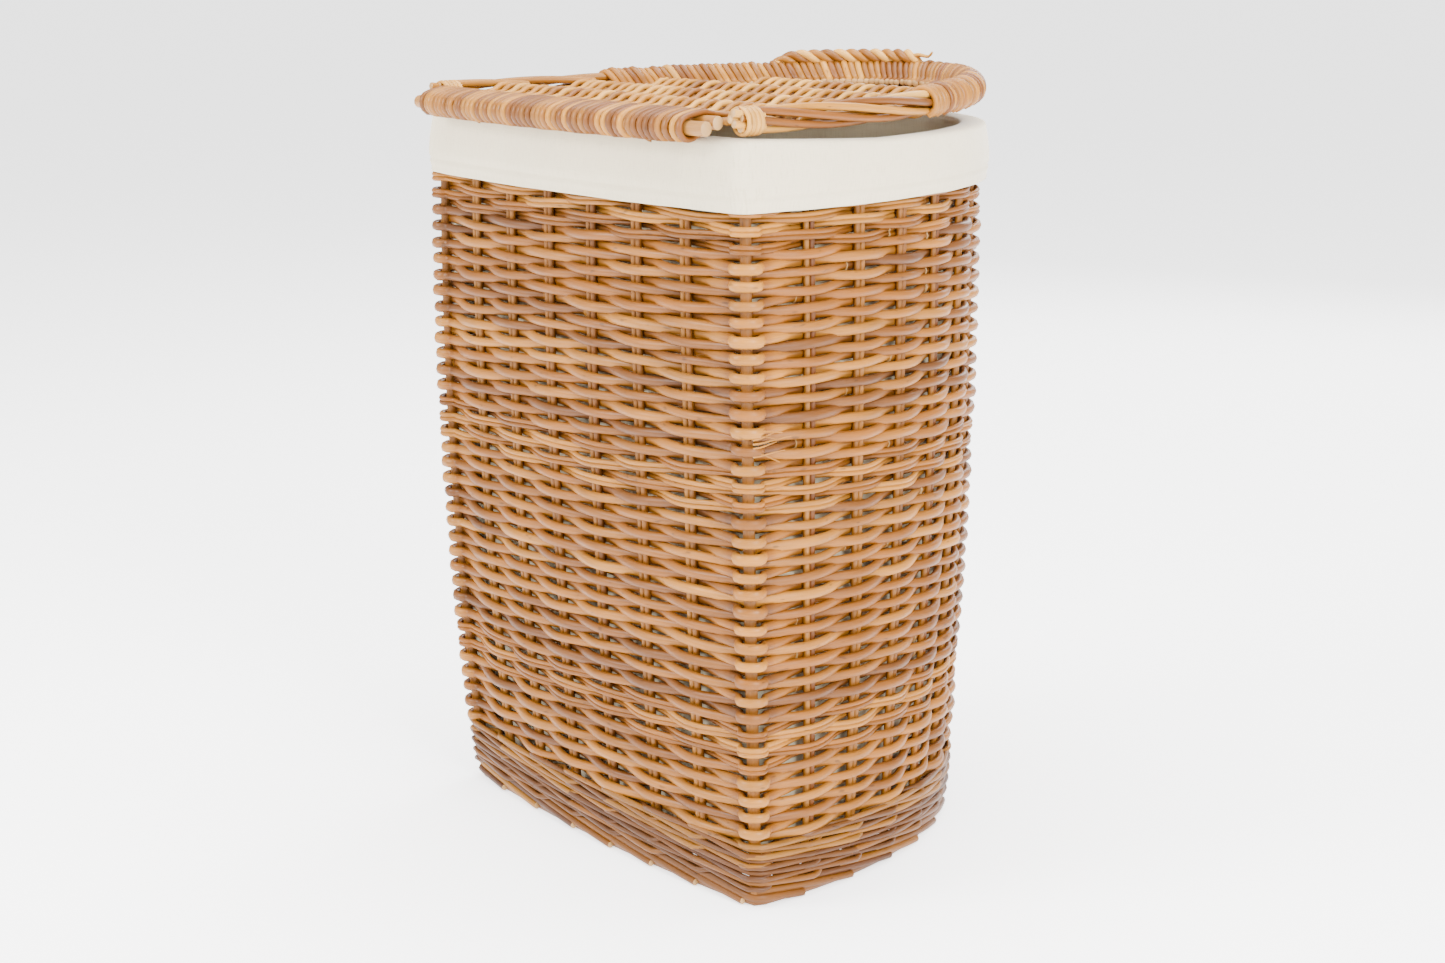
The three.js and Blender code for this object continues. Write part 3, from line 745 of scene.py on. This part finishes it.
def handle():
    """The roped grip on the border: three strands twisted together, with a loose tail."""
    rods = Rods()
    n = 70
    angle = np.radians(np.linspace(272, 308, n))
    a, b = BORDER_HALF_WIDTH, BORDER_REACH
    x, y = a * np.cos(angle), SIDE_END_Y + b * np.sin(angle)
    u = np.linspace(0, 1, n)
    centre = np.column_stack([x, y, border_z(y) + 0.0170])
    out = np.column_stack([np.cos(angle) * b, np.sin(angle) * a, np.zeros(n)])
    out /= np.linalg.norm(out, axis=1)[:, None]
    length = np.concatenate([[0], np.cumsum(np.linalg.norm(np.diff(centre, axis=0), axis=1))])
    taper = np.clip(np.minimum(u, 1 - u) * 9, 0, 1) ** 0.7
    for strand in range(3):
        twist = -2 * np.pi * length / 0.034 + strand * 2 * np.pi / 3
        path = centre + out * (0.0032 * np.cos(twist) * taper)[:, None]
        path[:, 2] += 0.0034 * np.sin(twist) * taper - 0.0045 * (1 - taper)
        rods.add(path, 0.0035 * (0.65 + 0.35 * taper), out, tint=(0.1, 0.3, 0.9)[strand], cap=1)
    tail = smooth_path([centre[8] + [0, 0, -0.001], centre[4] + [-0.006, 0.001, 0.002],
                        centre[0] + [-0.012, 0.002, 0.001], centre[0] + [-0.018, 0.003, 0.005]], 0.004)
    rods.add(tail, np.linspace(0.0022, 0.0011, len(tail)), (0, 0, 1), sides=6, tint=0.8, cap=1)
    rods.mesh("lid_grip", LID, "lid", "lid", "lid_handle")


def hinge_rings():
    """A twisted ring round the outer stick at each side, with its ends pushed down into the wall."""
    for side, name in ((-1, "left"), (1, "right")):
        x = side * HINGE_X
        head = np.array([axle_y(HINGE_X), AXLE_Z])
        down = np.array([back_y(HINGE_X), 0.590]) - head
        length = np.linalg.norm(down)
        down /= length
        across = np.array([-down[1], down[0]])
        keys = [head - down * HINGE_TURN * math.cos(t) + across * HINGE_TURN * math.sin(t)
                for t in np.radians([-115, -77, -38, 0, 38, 77, 115])]
        legs = ((0.0115, 0.0038), (length - 0.0035, 0.0035), (length, 0),
                (length - 0.0035, -0.0035), (0.0115, -0.0038))
        keys += [head + down * d + across * w for d, w in legs]
        keys = np.array([*keys[-2:], *keys, *keys[:2]])
        loop = smooth_path(np.column_stack([np.full(len(keys), x), keys]), 0.0022)
        first = np.argmin(np.linalg.norm(loop - [x, *keys[2]], axis=1))
        last = len(loop) - 1 - np.argmin(np.linalg.norm(loop[::-1] - [x, *keys[-2]], axis=1))
        loop = loop[first:last]
        middle = np.array([x, *(head + down * 0.010)])
        out = loop - middle
        out /= np.linalg.norm(out, axis=1)[:, None]
        rods = Rods()
        twist = 2 * np.pi * 7 * np.arange(len(loop)) / len(loop)
        for strand in (0, np.pi):
            path = loop + out * (0.0008 * np.cos(twist + strand))[:, None]
            path[:, 0] += 0.0008 * np.sin(twist + strand)
            rods.add(path, 0.0010, out, sides=6, tint=0.4 + strand / 9, closed=True)
        rods.mesh(f"hinge_loop_{name}", STAKE, "basket", "stake", f"hinge_ring_{name}")


# ---- The liner ----

def cloth(name, grid, thick, thread):
    """A closed sheet of this thickness from a grid of points that goes round in its first direction."""
    n, m = grid.shape[:2]
    du = np.roll(grid, -1, 0) - np.roll(grid, 1, 0)
    dv = np.gradient(grid, axis=1)
    normal = np.cross(du, dv)
    normal /= np.maximum(np.linalg.norm(normal, axis=2), 1e-9)[..., None]
    faces = (grid + normal * thick / 2, grid - normal * thick / 2)
    points = np.concatenate([face.reshape(-1, 3) for face in faces])
    i = np.arange(n)[:, None]
    j = np.arange(m - 1)
    k = (i + 1) % n
    front = np.stack([i * m + j, k * m + j, k * m + j + 1, i * m + j + 1], -1).reshape(-1, 4)
    quads = [front, front[:, ::-1] + n * m]
    ring, nxt = np.arange(n), (np.arange(n) + 1) % n
    for edge, flip in ((0, True), (m - 1, False)):
        band = np.stack([ring * m + edge, nxt * m + edge, nxt * m + edge + n * m, ring * m + edge + n * m], 1)
        quads.append(band[:, ::-1] if flip else band)
    obj = new_mesh(name, points, np.concatenate(quads), np.zeros((0, 3), int))
    layer = obj.data.attributes.new("thread", "FLOAT_VECTOR", "POINT")
    layer.data.foreach_set("vector", np.tile(thread.reshape(-1, 3), (2, 1)).astype("f").ravel())
    obj.data.materials.append(CLOTH)
    return obj


def liner():
    """The bag inside the wall, with its top turned out over the rim as a cuff."""
    s = np.sort(np.concatenate([np.linspace(0, ROUND, 300, endpoint=False),
                                LEFT_CORNER + np.arange(-4, 5) * 0.0011]))
    columns = len(s)
    inside_z = np.linspace(0.0312, 0.5930, 30)
    fold = np.linspace(np.pi, 0, 9)
    cuff_z = np.concatenate([np.linspace(0.5915, 0.5600, 8), np.linspace(0.5585, 0.5455, 7)])
    level = np.concatenate([inside_z, np.full(len(fold), 0.5935), cuff_z])
    rows = len(level)
    grid = np.zeros((columns, rows, 3))
    thread = np.zeros((columns, rows, 3))
    run = 0.0
    last = None
    slow = sum(np.sin(2 * np.pi * k * s / ROUND + rng.uniform(0, 7)) / k ** 0.5 for k in (7, 11, 16, 23, 31))
    fine = sum(np.sin(2 * np.pi * k * s / ROUND + rng.uniform(0, 7)) / k ** 0.3 for k in (37, 53, 71, 97))
    seam = np.exp(-((s - LEFT_CORNER) / 0.0026) ** 2)
    groove = np.exp(-((s - LEFT_CORNER - 0.0033) / 0.0011) ** 2)
    for j in range(rows):
        if j < len(inside_z):
            hang = math.sin(math.pi * (j / len(inside_z)) ** 0.8)
            offset = -0.0118 - 0.0013 * hang * (1 + slow * 0.8)
            offset = np.minimum(offset, -0.0105)
            z = level[j] - rim_dip(s) * (j / len(inside_z)) ** 6
        elif j < len(inside_z) + len(fold):
            t = fold[j - len(inside_z)]
            offset = np.full(columns, 0.0114 * math.cos(t))
            z = level[j] + 0.0046 * math.sin(t) ** 0.6 - rim_dip(s)
        else:
            k = (j - len(inside_z) - len(fold)) / (len(cuff_z) - 1)
            belly = math.sin(math.pi * min(1, k * 1.1)) if k < 0.9 else 0.15
            offset = 0.0112 + 0.0026 * belly * (1 + 0.30 * slow) + 0.00032 * fine * (1 - 0.6 * k)
            hem = abs(level[j] - 0.5575) < 0.0012
            offset = offset + (-0.0008 if hem else 0.0004 * (level[j] < 0.556))
            offset = offset + 0.0014 * seam - 0.0011 * groove
            z = level[j] + 0.0003 * slow * k - rim_dip(s) * (1 - k) ** 3
        path, _ = wall(s, offset, z)
        grid[:, j] = path
        if last is not None:
            run += float(np.linalg.norm(path - last, axis=1).mean())
        last = path
        thread[:, j, 0], thread[:, j, 1] = s, run
    obj = cloth("liner_cloth", grid, 0.0009, thread)
    settle(obj, "basket", "cloth", "liner_bag")
    return obj


def bottom_panel():
    """The liner's bottom, laid on the base."""
    columns = 160
    s = np.linspace(0, ROUND, columns, endpoint=False)
    edge, _ = wall(s, -0.0118, np.full(columns, 0.0300))
    shares = np.linspace(1, 0.02, 16)
    centre = np.array([0, -0.01, 0.0300])
    grid = np.stack([centre + (edge - centre) * share for share in shares], 1)
    bumps = np.sin(grid[..., 0] * 47 + 1) * np.sin(grid[..., 1] * 39) * 0.0006
    grid[..., 2] += 0.0003 + bumps * (1 - shares ** 4)
    obj = cloth("liner_bottom_cloth", grid, 0.0009, grid.copy())
    settle(obj, "basket", "cloth", "liner_bottom")


side_weave()
frays()
upset()
foot()
stakes()
top_border()
base()
back_sticks()
lid_weave()
lid_border()
ties()
handle()
hinge_rings()
liner()
bottom_panel()


# ---- Floor, light and camera ----

def floor():
    bpy.ops.mesh.primitive_plane_add(size=60, location=(0, 0, 0))
    plane = bpy.context.object
    plane.name = "floor"
    material, _, shader = node_tree("floor_white")
    shader.inputs["Base Color"].default_value = (0.93, 0.93, 0.93, 1)
    shader.inputs["Roughness"].default_value = 0.9
    shader.inputs["Specular IOR Level"].default_value = 0.1
    shader.inputs["Emission Color"].default_value = (1, 1, 1, 1)
    shader.inputs["Emission Strength"].default_value = 1.8
    plane.data.materials.append(material)


def area_light(name, place, target, size, power):
    light = bpy.data.lights.new(name, "AREA")
    light.shape = "RECTANGLE"
    light.size, light.size_y = size
    light.energy = power
    obj = bpy.data.objects.new(name, light)
    obj.location = place
    obj.rotation_euler = (Vector(target) - Vector(place)).to_track_quat("-Z", "Y").to_euler()
    bpy.context.scene.collection.objects.link(obj)


floor()
area_light("key", (0.7, 2.6, 1.7), (0, 0, 0.3), (1.1, 1.1), 140)
area_light("side", (-2.6, 0.3, 1.5), (0, 0, 0.3), (1.0, 1.4), 185)
area_light("corner", (-2.1, 2.0, 1.2), (0, 0, 0.3), (0.5, 0.9), 22)
area_light("front", (1.2, -2.6, 1.6), (0, 0, 0.3), (1.4, 1.4), 70)
area_light("top", (0, 0, 3.0), (0, 0, 0), (2.5, 2.5), 230)

world = bpy.data.worlds.new("studio")
world.use_nodes = True
world.node_tree.nodes["Background"].inputs["Color"].default_value = (1, 1, 1, 1)
world.node_tree.nodes["Background"].inputs["Strength"].default_value = 1.1
bpy.context.scene.world = world

CAMERA_AT = (-1.6027, 1.2772, 0.743)
CAMERA_AZIMUTH, CAMERA_PITCH = 52.03, 12.56
data = bpy.data.cameras.new("camera")
data.sensor_width = 36
data.lens = 61.24
camera = bpy.data.objects.new("camera", data)
camera.location = CAMERA_AT
azimuth, pitch = math.radians(CAMERA_AZIMUTH), math.radians(CAMERA_PITCH)
level = math.cos(pitch)
forward = Vector((math.sin(azimuth) * level, -math.cos(azimuth) * level, -math.sin(pitch)))
camera.rotation_euler = forward.to_track_quat("-Z", "Y").to_euler()
bpy.context.scene.collection.objects.link(camera)
bpy.context.scene.camera = camera
